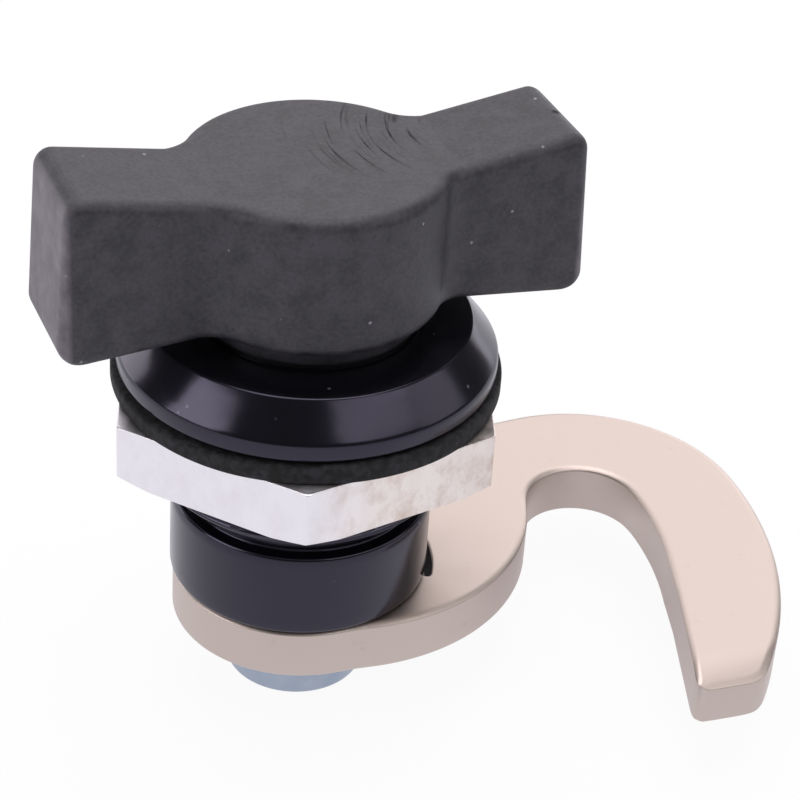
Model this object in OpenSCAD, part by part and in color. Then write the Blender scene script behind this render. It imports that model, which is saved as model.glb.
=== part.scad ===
// Wing-knob quarter-turn latch with a hook cam, for a panel with a double-D hole.
// Millimetres. +Z runs along the latch axis towards the knob. The origin lies on
// the axis at the panel's outer face, where the flange gasket bears on the panel.
// The flats of the threaded body face +X and -X.

/* [Flange and body] */
// Outside diameter of the flange
flange_d = 28; // [26:0.5:32]
// Diameter of the flange's flat top
flange_top_d = 23.8; // [22:0.1:24.8]
// Height of the upright band round the flange
band_h = 1.45; // [1.0:0.05:2.0]
// Whole height of the flange
flange_h = 4.05; // [3.5:0.05:5.0]
// Outside diameter of the body thread
thread_d = 22; // [21.5:0.1:22.5]
// Distance across the two flats of the body
flats_w = 20; // [19.8:0.1:20.4]
// Diameter of the smooth collar below the thread
collar_d = 19.8; // [19.4:0.1:20.2]
// Length of the smooth collar
collar_l = 6.8; // [4:0.1:7]
// Diameter of the undercut between thread and collar
neck_d = 17.6; // [16.8:0.1:18.4]
// Length of the undercut
neck_l = 1.8; // [1.2:0.1:2.4]
// Length of the body below the flange
body_l = 18.15; // [16.5:0.05:24]

/* [Gasket and nut] */
// Outside diameter of the flange gasket
gasket_d = 28.8; // [27:0.1:30]
// Thickness of the flange gasket
gasket_t = 1.5; // [1.0:0.1:2.0]
// Width of the nut across its flats
nut_af = 27; // [26:0.5:30]
// Thickness of the nut
nut_t = 4.7; // [3.5:0.1:5]
// Height of the turned-back corners on the nut's upper side
nut_break = 0.35; // [0.1:0.05:0.6]
// Turn of a nut corner from the +X flat, in degrees
nut_turn = 18.4; // [0:0.2:60]

/* [Wing knob] */
// Length of the knob over both wings at half its height
wing_l = 39; // [34:0.2:48]
// Width of a wing
wing_w = 9.3; // [8:0.1:10.5]
// Rise of a wing's top edge from the hub to the tip
wing_rise = 1.6; // [0.8:0.05:2.0]
// Drop of a wing's lower edge from the hub to the tip
wing_drop = 0.9; // [0.4:0.05:1.2]
// Lean of a wing's end face, shorter at the top, in degrees
end_draft = 3.2; // [0.5:0.1:4]
// Rounding of a wing's upper end corner
high_corner_r = 1.5; // [1.0:0.05:1.8]
// Rounding of a wing's lower end corner
low_corner_r = 1.9; // [1.2:0.05:2.2]
// Diameter of the round hub
hub_d = 19.3; // [18.5:0.1:21]
// Height of the hub
hub_h = 10.7; // [10:0.1:11.5]
// Radius of the hollow corner between hub and wing
root_r = 3; // [1.5:0.1:3.6]
// Rounding of the knob's edges
edge_r = 0.9; // [0.5:0.1:1.2]
// Diameter of the boss under the hub
boss_d = 16.3; // [15.6:0.1:17]
// Height of the boss under the hub
boss_h = 1.45; // [1.4:0.05:2.4]

/* [Spindle] */
// Diameter of the turning shaft
shaft_d = 12; // [11.5:0.1:12.2]
// Width across the flats of the six-sided head inside the knob
head_af = 13; // [12.6:0.1:13.4]
// Width of the square that drives the cam
square_w = 8; // [7.4:0.1:8.2]
// Radial clearance of the shaft in the body
shaft_gap = 0.05; // [0.02:0.01:0.08]

/* [Hook cam] */
// Thickness of the cam plate
cam_t = 4.2; // [3.4:0.1:4.4]
// Diameter of the cam's ring round the axis
ring_d = 19.4; // [19.2:0.1:20.6]
// Distance from the axis to the middle of the keeper seat
keeper_reach = 24.5; // [24:0.1:27]
// Diameter of the keeper seat
seat_d = 9.2; // [8:0.1:9.4]
// Greatest reach of the hook from the axis
swing_r = 37.9; // [36.9:0.1:40]
// Radius of the hook's outer edge
outer_r = 34.2; // [32:0.1:36]
// Radius of the hook's rounded back
back_r = 12.9; // [12.2:0.05:13.2]
// Angle below the seat where the inner edge turns straight, in degrees
lip_turn = 19.2; // [17:0.2:24]
// Length of the straight inner edge
lip_l = 14.6; // [10:0.1:15]
// Slant of the end of the hook, in degrees
tip_slant = 15; // [0:1:20]
// Radius of the neck's front edge
neck_r = 16.4; // [15.9:0.1:16.8]

/* [Quarter turn] */
// Turn of the wings from the +X flat in the drawn position, in degrees
rest_turn = 8; // [0:0.5:20]
// Turn from stop to stop, in degrees
travel = 90; // [80:1:95]
// Width of the stop lug on the body, in degrees
lug_span = 20; // [14:1:22]
// Angle from the seat to the start of the stop slot, in degrees
slot_start = 32.4; // [28:0.2:36]

/* [Cam screw] */
// Diameter of the screw thread
screw_d = 6; // [5:0.5:6]
// Diameter of the screw head
screw_head_d = 10.7; // [9.5:0.1:11]
// Height of the screw head
screw_head_h = 3.7; // [3.4:0.1:4.6]
// Thickness of the spring washer
spring_t = 1.5; // [1.2:0.1:1.8]

/* [Hidden] */
round_fn = 96;
ball_fn = 32;
eps = 0.01;
far = 60;

// levels on the axis
flange_z = gasket_t;
top_z = flange_z + flange_h;
foot_z = flange_z - body_l;
collar_z = foot_z + collar_l;
thread_z = collar_z + neck_l;

// thrust washer, which stands proud of its recess and carries the knob
washer_t = 1;
washer_inset = 0.2;
washer_gap = 0.05;
washer_proud = 0.2;
washer_r = boss_d / 2 - washer_inset;
recess_z = top_z - washer_t + washer_proud;
boss_z = top_z + washer_proud;
hub_z = boss_z + boss_h;
hub_top_z = hub_z + hub_h;

// wings and hollow corners, which both reach into the hub
hub_r = hub_d / 2;
wing_end = wing_l / 2;
wing_run = wing_end - hub_r;
wing_climb = atan(wing_rise / wing_run);
wing_fall = atan(wing_drop / wing_run);
knob_mid_z = hub_z + hub_h / 2;
wing_sunk = 2.4;
root_sunk = 2.4;
root_lap = 0.04;
wing_lap = 0.04;

// body bore and the retaining ring in its foot
shaft_r = shaft_d / 2;
bore_r = shaft_r + shaft_gap;
clip_t = 1;
clip_gap = 0.1;
clip_stand = 1.8;
clip_sunk = 0.5;
clip_room = 1.8;
clip_mouth = 70;
clip_free = 0.35;
clip_r = shaft_r + clip_stand;
clip_seat_r = shaft_r - clip_sunk;
pocket_r = clip_r + clip_free;
clip_z = foot_z + clip_room - clip_gap - clip_t;

// shaft seal
seal_sunk = 1.5;
seal_slack = 0.02;
seal_play = 0.4;
seal_drop = 4;
seal_seat_r = shaft_r - seal_sunk;
seal_r = (bore_r - seal_seat_r) / 2 - seal_slack;
seal_mid_r = (bore_r + seal_seat_r) / 2;
seal_room = 2 * seal_r + seal_play;
seal_z = flange_z - seal_drop;

// six-sided spindle head inside the knob
head_lift = 2;
head_cover = 3.2;
head_z = hub_z + head_lift;
head_l = hub_h - head_lift - head_cover;

// cam stack below the body
cam_gap = 0.15;
square_short = 0.3;
square_gap = 0.05;
screw_l = 12;
screw_gap = 0.05;
spring_inset = 0.3;
socket_less = 2;
socket_floor = 1.5;
cam_z = foot_z - cam_gap;
cam_low_z = cam_z - cam_t;
spring_low_z = cam_low_z - spring_t;

// hook outline
seat_r = seat_d / 2;
throat_r = keeper_reach + seat_r;
ring_r = ring_d / 2;
back_mid = [swing_r - back_r, 0];
outer_mid = [swing_r - outer_r, 0];
neck_mid = [4.5, 6.4];
bulge_mid = [1.25, 2.5];
bulge_less = 0.55;
bulge_r = ring_r - bulge_less;

// stop lug and the slot it travels in, with the gap at each stop in degrees
lug_l = 2.55;
lug_inset = 0.15;
lug_clear = 0.1;
slot_lap = 0.25;
slot_clear = 0.65;
stop_gap = 0.5;
lug_in_r = pocket_r + lug_clear;
lug_out_r = collar_d / 2 - lug_inset;
slot_in_r = pocket_r - slot_lap;
slot_out_r = lug_out_r + slot_clear;
slot_span = travel + lug_span + 2 * stop_gap;
lug_start = rest_turn - slot_start + stop_gap;

// Point at a radius and an angle.
function polar(r, a) = [r * cos(a), r * sin(a)];

// Unit normal of the upper line that touches two circles from outside.
function tangent_angle(c1, r1, c2, r2) =
    atan2(c2[1] - c1[1], c2[0] - c1[0]) + acos((r1 - r2) / norm(c2 - c1));

// Pie slice from angle a0 over a span of up to 180 degrees.
module slice(r, a0, span) {
    steps = 4;
    polygon(concat([[0, 0]], [for (i = [0:steps]) polar(r, a0 + span * i / steps)]));
}

// Part of a ring between two radii and two angles.
module ring_slice(r_in, r_out, a0, span) {
    intersection() {
        difference() {
            circle(r = r_out, $fn = round_fn);
            circle(r = r_in, $fn = round_fn);
        }
        slice(2 * r_out, a0, span);
    }
}

// Regular hexagon by its width across flats.
module hexagon(af) {
    polygon([for (i = [0:5]) polar(af / sqrt(3), 60 * i)]);
}

// Flat-topped, bevelled flange over a threaded body with an undercut and a smooth foot.
module housing_turned() {
    r = flange_d / 2;
    foot_r = collar_d / 2;
    thread_r = thread_d / 2;
    rim = 0.35;
    neck_r = neck_d / 2;
    lead = 0.6;
    foot_break = 0.3;
    rotate_extrude($fn = round_fn)
        polygon([[0, foot_z], [foot_r - foot_break, foot_z], [foot_r, foot_z + foot_break],
                 [foot_r, collar_z], [neck_r, collar_z], [neck_r, thread_z], [thread_r - lead, thread_z],
                 [thread_r, thread_z + lead], [thread_r, flange_z], [r - rim, flange_z],
                 [r, flange_z + rim], [r, flange_z + band_h], [flange_top_d / 2, top_z], [0, top_z]]);
}

module housing() {
    color([0.09, 0.09, 0.1])
    difference() {
        union() {
            housing_turned();
            translate([0, 0, foot_z - lug_l])
                linear_extrude(height = lug_l + eps)
                    ring_slice(lug_in_r, lug_out_r, lug_start, lug_span);
        }
        for (side = [-1, 1])
            translate([side * (flats_w + far) / 2, 0, flange_z - far / 2])
                cube([far, far, far], center = true);
        translate([0, 0, foot_z - far / 2]) cylinder(r = bore_r, h = far, $fn = round_fn);
        translate([0, 0, recess_z])
            cylinder(r = washer_r + washer_gap, h = far, $fn = round_fn);
        translate([0, 0, foot_z - far + clip_room]) cylinder(r = pocket_r, h = far, $fn = round_fn);
    }
}

module flange_gasket() {
    color([0.13, 0.13, 0.14])
    difference() {
        cylinder(d = gasket_d, h = gasket_t, $fn = round_fn);
        translate([0, 0, -eps])
            cylinder(r = thread_d / 2 + washer_gap, h = gasket_t + 2 * eps, $fn = round_fn);
    }
}

// Six-sided nut, its corners turned back a little on the side of the gasket.
module mounting_nut() {
    corner_r = nut_af / sqrt(3);
    chamfer = 30;
    slope = nut_break / tan(chamfer);
    bore = thread_d / 2 + shaft_gap;
    color([0.86, 0.86, 0.88])
    rotate(nut_turn)
    translate([0, 0, -nut_t])
    difference() {
        intersection() {
            linear_extrude(height = nut_t) hexagon(nut_af);
            rotate_extrude($fn = round_fn)
                polygon([[0, 0], [corner_r + slope, 0], [corner_r + slope, nut_t - 2 * nut_break],
                         [corner_r - slope, nut_t], [0, nut_t]]);
        }
        translate([0, 0, -eps]) cylinder(r = bore, h = nut_t + 2 * eps, $fn = round_fn);
    }
}

module thrust_washer() {
    color([0.06, 0.06, 0.06])
    translate([0, 0, recess_z])
    difference() {
        cylinder(r = washer_r, h = washer_t, $fn = round_fn);
        translate([0, 0, -eps])
            cylinder(r = bore_r + washer_gap, h = washer_t + 2 * eps, $fn = round_fn);
    }
}

// Round hub with rolled edges.
module knob_hub() {
    translate([0, 0, hub_z])
    rotate_extrude($fn = round_fn) {
        square([hub_r - edge_r, hub_h]);
        translate([0, edge_r]) square([hub_r, hub_h - 2 * edge_r]);
        for (z = [edge_r, hub_h - edge_r])
            translate([hub_r - edge_r, z])
                intersection() {
                    circle(r = edge_r, $fn = ball_fn);
                    translate([0, -edge_r]) square([edge_r, 2 * edge_r]);
                }
    }
}

// Long prism below the XY plane, along X, with a rounded upper edge on each side.
module ridge() {
    half_w = wing_w / 2;
    rotate([90, 0, 90])
    translate([0, 0, -far / 2])
    linear_extrude(height = far) {
        translate([-half_w, -far]) square([wing_w, far - edge_r]);
        translate([edge_r - half_w, -far]) square([wing_w - 2 * edge_r, far]);
        for (y = [-1, 1])
            translate([y * (half_w - edge_r), -edge_r]) circle(r = edge_r, $fn = ball_fn);
    }
}

// Height, above a wing's middle level, of the centre of a corner circle that touches an edge
// climbing outwards and an end face leaning inwards.
function corner_up(climb, lean, r) =
    (hub_h / 2 + wing_lap + tan(climb) * (wing_run + wing_lap - r / cos(lean)) - r / cos(climb))
    / (1 + tan(climb) * tan(lean));

// Distance of that centre from the edge of the hub.
function corner_out(climb, lean, r) =
    wing_run + wing_lap - tan(lean) * corner_up(climb, lean, r) - r / cos(lean);

// Side view of a wing, taller outwards, its end face leaning and its two end corners round.
module wing_side() {
    high_mid = [corner_out(wing_climb, end_draft, high_corner_r),
                corner_up(wing_climb, end_draft, high_corner_r)];
    low_mid = [corner_out(wing_fall, -end_draft, low_corner_r),
               -corner_up(wing_fall, -end_draft, low_corner_r)];
    outward = [cos(end_draft), sin(end_draft)];
    high_start = high_mid + high_corner_r * [-sin(wing_climb), cos(wing_climb)];
    low_start = low_mid + low_corner_r * [-sin(wing_fall), -cos(wing_fall)];
    translate([hub_r, knob_mid_z]) {
        polygon([[-wing_sunk, -hub_h], [low_start[0], -hub_h], low_start, low_mid,
                 low_mid + low_corner_r * outward, high_mid + high_corner_r * outward,
                 high_mid, high_start, [high_start[0], hub_h], [-wing_sunk, hub_h]]);
        translate(low_mid) circle(r = low_corner_r, $fn = ball_fn);
        translate(high_mid) circle(r = high_corner_r, $fn = ball_fn);
    }
}

// Top view of a wing, with rounded outer corners.
module wing_plan() {
    half_w = wing_w / 2 + wing_lap;
    translate([0, -half_w]) square([wing_end - edge_r, 2 * half_w]);
    translate([0, edge_r - half_w]) square([wing_end, 2 * (half_w - edge_r)]);
    for (y = [-1, 1])
        translate([wing_end - edge_r, y * (half_w - edge_r)]) circle(r = edge_r, $fn = ball_fn);
}

// One wing along +X, between two ridges that tilt apart from the edge of the hub.
module knob_wing() {
    intersection() {
        rotate([90, 0, 0])
            translate([0, 0, -far / 2]) linear_extrude(height = far) wing_side();
        translate([wing_end, 0, knob_mid_z])
            rotate([0, -end_draft, 0])
                translate([-wing_end, 0, -far / 2]) linear_extrude(height = far) wing_plan();
        translate([hub_r, 0, hub_top_z]) rotate([0, -wing_climb, 0]) ridge();
        translate([hub_r, 0, hub_z]) rotate([0, wing_fall, 0]) mirror([0, 0, 1]) ridge();
    }
}

// Hollow corner between hub and wing, its upper and lower edges rolled.
module knob_root() {
    reach = hub_r + root_r;
    side = wing_w / 2 + root_r;
    along = sqrt(reach * reach - side * side);
    toward = atan2(side, along);
    fill_r = root_r - root_lap;
    translate([along, side, hub_z])
    rotate(180 + toward)
    rotate_extrude(angle = 90 - toward, $fn = round_fn)
        difference() {
            translate([fill_r, root_lap]) square([root_sunk, hub_h - 2 * root_lap]);
            for (z = [0, 1])
                translate([fill_r, z ? hub_h - root_lap : root_lap])
                    difference() {
                        square(2 * edge_r, center = true);
                        translate([edge_r, edge_r * (1 - 2 * z)]) circle(r = edge_r, $fn = ball_fn);
                    }
        }
}

module wing_knob() {
    color([0.27, 0.27, 0.29])
    rotate(rest_turn)
    difference() {
        union() {
            knob_hub();
            for (a = [0, 180]) rotate(a) knob_wing();
            for (x = [0, 1], y = [0, 1]) mirror([x, 0, 0]) mirror([0, y, 0]) knob_root();
            translate([0, 0, boss_z]) cylinder(d = boss_d, h = boss_h + edge_r, $fn = round_fn);
        }
        translate([0, 0, boss_z - eps])
            cylinder(d = shaft_d, h = head_z - boss_z + 2 * eps, $fn = round_fn);
        translate([0, 0, head_z]) linear_extrude(height = head_l) hexagon(head_af);
    }
}

// Ring-shaped cut from outside down to a radius, upwards from a level.
module groove(r, z, h) {
    translate([0, 0, z])
    difference() {
        cylinder(r = shaft_d, h = h, $fn = round_fn);
        translate([0, 0, -eps]) cylinder(r = r, h = h + 2 * eps, $fn = round_fn);
    }
}

// Shaft with a six-sided head held in the knob, a seal groove, a ring groove and a drive square.
module spindle() {
    color([0.62, 0.63, 0.65])
    rotate(rest_turn)
    difference() {
        union() {
            translate([0, 0, cam_z]) cylinder(d = shaft_d, h = head_z + eps - cam_z, $fn = round_fn);
            translate([0, 0, head_z]) linear_extrude(height = head_l) hexagon(head_af);
            translate([-square_w / 2, -square_w / 2, cam_low_z + square_short])
                cube([square_w, square_w, cam_t]);
        }
        translate([0, 0, cam_low_z])
            cylinder(d = screw_d, h = screw_l + spring_t, $fn = round_fn);
        groove(seal_seat_r, seal_z - seal_room / 2, seal_room);
        groove(clip_seat_r, clip_z, clip_t);
    }
}

module o_ring() {
    color([0.1, 0.1, 0.1])
    translate([0, 0, seal_z])
    rotate_extrude($fn = round_fn)
        translate([seal_mid_r, 0]) circle(r = seal_r, $fn = ball_fn);
}

// Open ring that keeps the shaft in the body while the cam is off.
module retaining_ring() {
    color([0.3, 0.31, 0.33])
    translate([0, 0, clip_z])
    rotate(rest_turn)
    linear_extrude(height = clip_t)
    difference() {
        circle(r = clip_r, $fn = round_fn);
        circle(r = clip_seat_r, $fn = round_fn);
        slice(2 * clip_r, -clip_mouth / 2, clip_mouth);
    }
}

// Ring, bulge and neck of the cam, up to the seat.
module cam_neck() {
    n = tangent_angle(bulge_mid, bulge_r, back_mid, back_r);
    circle(r = ring_r, $fn = round_fn);
    translate(bulge_mid) circle(r = bulge_r, $fn = round_fn);
    polygon([[0, 0], back_mid, back_mid + polar(back_r, n), bulge_mid + polar(bulge_r, n)]);
    intersection() {
        translate(neck_mid) circle(r = neck_r, $fn = round_fn);
        translate([0, -far]) square([far, far]);
    }
}

// Hook round the keeper: a rounded back, a wide arc and a straight lip.
module cam_hook() {
    difference() {
        union() {
            translate(back_mid) circle(r = back_r, $fn = round_fn);
            intersection() {
                translate(outer_mid) circle(r = outer_r, $fn = 2 * round_fn);
                translate([0, -far]) square([far, far]);
            }
        }
        intersection() {
            circle(r = throat_r, $fn = 2 * round_fn);
            translate([0, -far]) square([far, far]);
        }
        rotate(-lip_turn) translate([throat_r - far, -far]) square([far, far]);
        rotate(-lip_turn) translate([throat_r, -lip_l]) rotate(tip_slant)
            translate([-far / 2, -far]) square([far, far]);
    }
}

module hook_cam() {
    color([0.84, 0.77, 0.73])
    rotate(rest_turn)
    translate([0, 0, cam_low_z])
    linear_extrude(height = cam_t)
    difference() {
        union() {
            cam_neck();
            cam_hook();
        }
        translate([keeper_reach, 0]) circle(r = seat_r, $fn = round_fn);
        square(square_w + 2 * square_gap, center = true);
        ring_slice(slot_in_r, slot_out_r, -slot_start, slot_span);
    }
}

// Split spring washer under the screw head.
module spring_washer() {
    split = 12;
    color([0.7, 0.72, 0.74])
    translate([0, 0, spring_low_z])
    linear_extrude(height = spring_t)
    difference() {
        circle(r = screw_head_d / 2 - spring_inset, $fn = round_fn);
        circle(r = screw_d / 2 + screw_gap, $fn = round_fn);
        slice(screw_head_d, 90, split);
    }
}

// Low cylinder-head screw with a six-sided socket.
module cam_screw() {
    socket_af = screw_d - socket_less;
    socket_h = screw_head_h - socket_floor;
    soft = 0.5;
    head_r = screw_head_d / 2;
    color([0.66, 0.71, 0.78])
    difference() {
        union() {
            rotate_extrude($fn = round_fn)
                polygon([[0, spring_low_z], [head_r, spring_low_z],
                         [head_r, spring_low_z - screw_head_h + soft],
                         [head_r - soft, spring_low_z - screw_head_h],
                         [0, spring_low_z - screw_head_h]]);
            translate([0, 0, spring_low_z - eps])
                cylinder(r = screw_d / 2 - screw_gap, h = screw_l + eps, $fn = round_fn);
        }
        translate([0, 0, spring_low_z - screw_head_h - eps])
            linear_extrude(height = socket_h) hexagon(socket_af);
    }
}

housing();
flange_gasket();
mounting_nut();
thrust_washer();
wing_knob();
spindle();
o_ring();
retaining_ring();
hook_cam();
spring_washer();
cam_screw();
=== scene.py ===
# %% [markdown]
# # A wing-knob hook latch
# The latch is bolted into a thin panel: a black flanged body with a rubber gasket and a
# bright nut, a moulded wing knob above it, and a flat hook-shaped cam below that turns with
# the knob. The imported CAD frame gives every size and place. This lesson lays finished
# surfaces over the pieces that show, and gives the hidden ones their own metals.

import bmesh
import bpy
import numpy as np
from mathutils import Matrix, Vector
from mathutils.geometry import tessellate_polygon


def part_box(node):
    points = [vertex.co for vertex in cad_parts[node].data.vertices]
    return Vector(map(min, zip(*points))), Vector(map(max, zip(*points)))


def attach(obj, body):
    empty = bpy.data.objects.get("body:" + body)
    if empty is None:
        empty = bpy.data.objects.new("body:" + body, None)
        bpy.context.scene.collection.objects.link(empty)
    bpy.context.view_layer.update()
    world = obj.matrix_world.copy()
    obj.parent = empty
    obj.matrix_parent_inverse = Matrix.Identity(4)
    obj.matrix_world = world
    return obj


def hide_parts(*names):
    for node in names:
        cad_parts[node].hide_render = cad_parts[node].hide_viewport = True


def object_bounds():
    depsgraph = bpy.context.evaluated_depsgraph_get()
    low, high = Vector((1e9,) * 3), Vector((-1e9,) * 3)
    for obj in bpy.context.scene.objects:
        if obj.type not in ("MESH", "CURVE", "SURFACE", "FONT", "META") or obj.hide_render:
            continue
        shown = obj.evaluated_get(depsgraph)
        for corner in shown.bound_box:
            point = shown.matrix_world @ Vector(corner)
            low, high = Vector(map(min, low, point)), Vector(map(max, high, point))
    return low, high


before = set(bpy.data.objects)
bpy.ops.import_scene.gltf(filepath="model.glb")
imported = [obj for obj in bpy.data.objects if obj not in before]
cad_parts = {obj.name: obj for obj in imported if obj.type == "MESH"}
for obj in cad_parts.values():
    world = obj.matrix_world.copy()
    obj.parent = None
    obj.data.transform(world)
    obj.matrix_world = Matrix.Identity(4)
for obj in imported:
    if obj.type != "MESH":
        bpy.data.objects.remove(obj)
cad_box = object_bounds()
MM = 0.001

# %% [markdown]
# ## Reading sizes off the frame
# The frame is in metres. A latch is easier to think about in millimetres, so every shape
# below is worked out in millimetres and scaled once, when it becomes a mesh. Levels and
# diameters come from the boxes of the CAD pieces, so a repacked part moves its own dressing.


# %% Boxes of the CAD pieces in millimetres
def low_high(node):
    """Lowest and highest corner of a CAD node at rest, in millimetres."""
    low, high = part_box(node)
    return np.array(low) / MM, np.array(high) / MM


housing_low, housing_high = low_high("housing")
gasket_low, gasket_high = low_high("flange_gasket")
nut_low, nut_high = low_high("mounting_nut")
knob_low, knob_high = low_high("wing_knob")
cam_low, cam_high = low_high("hook_cam")
screw_low, screw_high = low_high("cam_screw")
spring_low, spring_high = low_high("spring_washer")
REST_TURN = 8.0
print("knob", knob_low.round(2), knob_high.round(2), "cam", cam_low.round(2), cam_high.round(2))

# %% [markdown]
# ## Colours and shader nodes
# A colour is written as the hex value that a colour picker shows, which is sRGB, while the
# renderer counts in linear light. One function turns the one into the other. A second one
# adds a shader node, with settings on the node and values or links on its sockets, so that
# each finish below reads as a short list of steps.


# %% Helpers for finishes
def linear(hex_colour):
    """sRGB hex to linear RGBA: c/12.92 below 0.04045, else ((c + 0.055)/1.055) to the power 2.4."""
    srgb = np.array([int(hex_colour[i:i + 2], 16) for i in (1, 3, 5)]) / 255
    light = np.where(srgb <= 0.04045, srgb / 12.92, ((srgb + 0.055) / 1.055) ** 2.4)
    return (*light.tolist(), 1.0)


def add(tree, kind, sockets=None, **settings):
    """Adds one shader node: settings go on the node, sockets take a value or a link from a socket."""
    node = tree.nodes.new("ShaderNode" + kind)
    for name, value in settings.items():
        setattr(node, name, value)
    for name, value in (sockets or {}).items():
        if isinstance(value, bpy.types.NodeSocket):
            tree.links.new(value, node.inputs[name])
        else:
            node.inputs[name].default_value = value
    return node


def new_finish(name, **shader):
    """Material with one Principled shader set from the given sockets, and Object coordinates to read."""
    finish = bpy.data.materials.new(name)
    finish.use_nodes = True
    tree = finish.node_tree
    principled = tree.nodes["Principled BSDF"]
    for socket, value in shader.items():
        principled.inputs[socket.replace("_", " ")].default_value = value
    place = add(tree, "TexCoord").outputs["Object"]
    return finish, tree, principled, place


def per_mm(size):
    """Texture scale, in cells per metre, for a pattern that repeats about every size millimetres."""
    return 1 / (size * MM)


# %% [markdown]
# ## From arrays to a piece
# Every new piece is a grid of points: rows go along a profile, columns go round the piece.
# Quads join neighbouring points. The helper puts the arrays into a mesh, merges points that
# fall together at a seam, turns all faces outwards, hangs the piece on the body it rides on
# and hides the CAD pieces it stands for.


# %% Helpers for meshes
def grid_quads(rows, columns, wrap_rows=False):
    """Quads over a grid that closes on itself along its columns, and along its rows if asked."""
    row = np.arange(rows if wrap_rows else rows - 1)[:, None]
    column = np.arange(columns)[None, :]
    next_row = (row + 1) % rows
    next_column = (column + 1) % columns
    corners = [row * columns + column, row * columns + next_column,
               next_row * columns + next_column, next_row * columns + column]
    return np.stack(np.broadcast_arrays(*corners), axis=-1).reshape(-1, 4)


def make_piece(name, points, faces, body, finish, stands_for=(), sharp=None):
    """Mesh object from points in millimetres, merged, outward, smooth, riding on a body."""
    mesh = bpy.data.meshes.new(name)
    mesh.from_pydata((np.asarray(points).reshape(-1, 3) * MM).tolist(), [], [list(f) for f in faces])
    work = bmesh.new()
    work.from_mesh(mesh)
    bmesh.ops.remove_doubles(work, verts=work.verts, dist=1e-7)
    bmesh.ops.dissolve_degenerate(work, edges=work.edges, dist=1e-8)
    bmesh.ops.recalc_face_normals(work, faces=work.faces)
    work.to_mesh(mesh)
    work.free()
    mesh.shade_smooth()
    if sharp is not None:
        mesh.set_sharp_from_angle(angle=np.radians(sharp))
    mesh.materials.append(finish)
    piece = bpy.data.objects.new(name, mesh)
    bpy.context.collection.objects.link(piece)
    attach(piece, body)
    if stands_for:
        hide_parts(*stands_for)
    span = np.ptp(np.asarray(points).reshape(-1, 3), axis=0)
    print(name, len(mesh.polygons), "faces,", span.round(2), "mm")
    return piece


def turned(points, degrees):
    """Points turned about the latch axis: x' = x cos a - y sin a, y' = x sin a + y cos a."""
    a = np.radians(degrees)
    x, y, z = np.moveaxis(np.asarray(points), -1, 0)
    return np.stack([x * np.cos(a) - y * np.sin(a), x * np.sin(a) + y * np.cos(a), z], axis=-1)


# %% [markdown]
# ## Finish: moulded glass-filled nylon
# The knob is black nylon with glass fibre in it, moulded in a spark-eroded tool. The tool
# leaves a fine even grain, so the plastic is dark and satin: nearly black face on, and grey
# where it mirrors a bright room at a low angle. Handling has left pale dust, dark pits and a
# bundle of scratches on the hub. The grain itself is about 0.1 mm, too fine to show, so it
# is drawn at 0.3 mm.

# %% Nylon: grain, clouds, dust and pits
nylon, tree, shader, place = new_finish("glass-filled nylon, spark textured", IOR=1.53)
grain = add(tree, "TexNoise", {"Vector": place, "Scale": per_mm(0.3), "Detail": 3.0}).outputs["Fac"]
cloud = add(tree, "TexNoise", {"Vector": place, "Scale": per_mm(1.7), "Detail": 6.0}).outputs["Fac"]
tone = add(tree, "Mix", {"Factor": 0.65, "A": grain, "B": cloud}).outputs["Result"]
greys = add(tree, "ValToRGB", {"Fac": tone})
dark, pale = greys.color_ramp.elements
dark.position, dark.color = 0.35, linear("#242227")
pale.position, pale.color = 0.65, linear("#3b393f")
speck = add(tree, "TexVoronoi", {"Vector": place, "Scale": per_mm(2.6)}).outputs["Distance"]
dust = add(tree, "MapRange", {"Value": speck, "From Min": 0.06, "From Max": 0.03}).outputs["Result"]
dusty = add(tree, "Mix", {"Factor": dust, "A": greys.outputs["Color"], "B": linear("#8d8a90")},
            data_type="RGBA").outputs["Result"]
pore = add(tree, "TexVoronoi",
           {"Vector": place, "Scale": per_mm(0.9), "Randomness": 1.0}).outputs["Distance"]
pits = add(tree, "MapRange",
           {"Value": pore, "From Min": 0.13, "From Max": 0.06, "To Max": 0.7}).outputs["Result"]
pitted = add(tree, "Mix",
             {"Factor": pits, "A": dusty, "B": linear("#121114")}, data_type="RGBA").outputs["Result"]
print("nylon nodes so far", len(tree.nodes))

# %% Nylon: painted highlight on the ends of the wings
# The ends of the wings are lit from the sides, so a patchy pale colour painted from the last millimetre out
# stands in for that light: a painted highlight.
END_LIGHT_FROM, END_LIGHT_FULL = 18.8 * MM, 19.2 * MM
wing_way = (np.cos(np.radians(REST_TURN)), np.sin(np.radians(REST_TURN)), 0)
along_wing = add(tree, "VectorMath", {0: place, 1: wing_way}, operation="DOT_PRODUCT").outputs["Value"]
off_hub = add(tree, "Math", {0: along_wing}, operation="ABSOLUTE").outputs["Value"]
at_end = add(tree, "MapRange",
             {"Value": off_hub, "From Min": END_LIGHT_FROM, "From Max": END_LIGHT_FULL}).outputs["Result"]
end_light_patch = add(tree, "MapRange",
            {"Value": cloud, "From Min": 0.33, "From Max": 0.65, "To Min": 0.35, "To Max": 0.85})
end_light = add(tree, "Math", {0: at_end, 1: end_light_patch.outputs["Result"]}, operation="MULTIPLY").outputs["Value"]
end_lit = add(tree, "Mix",
             {"Factor": end_light, "A": pitted, "B": linear("#7a737a")}, data_type="RGBA").outputs["Result"]
print("pale film from", round(END_LIGHT_FROM / MM, 2), "mm off the axis")

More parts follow.
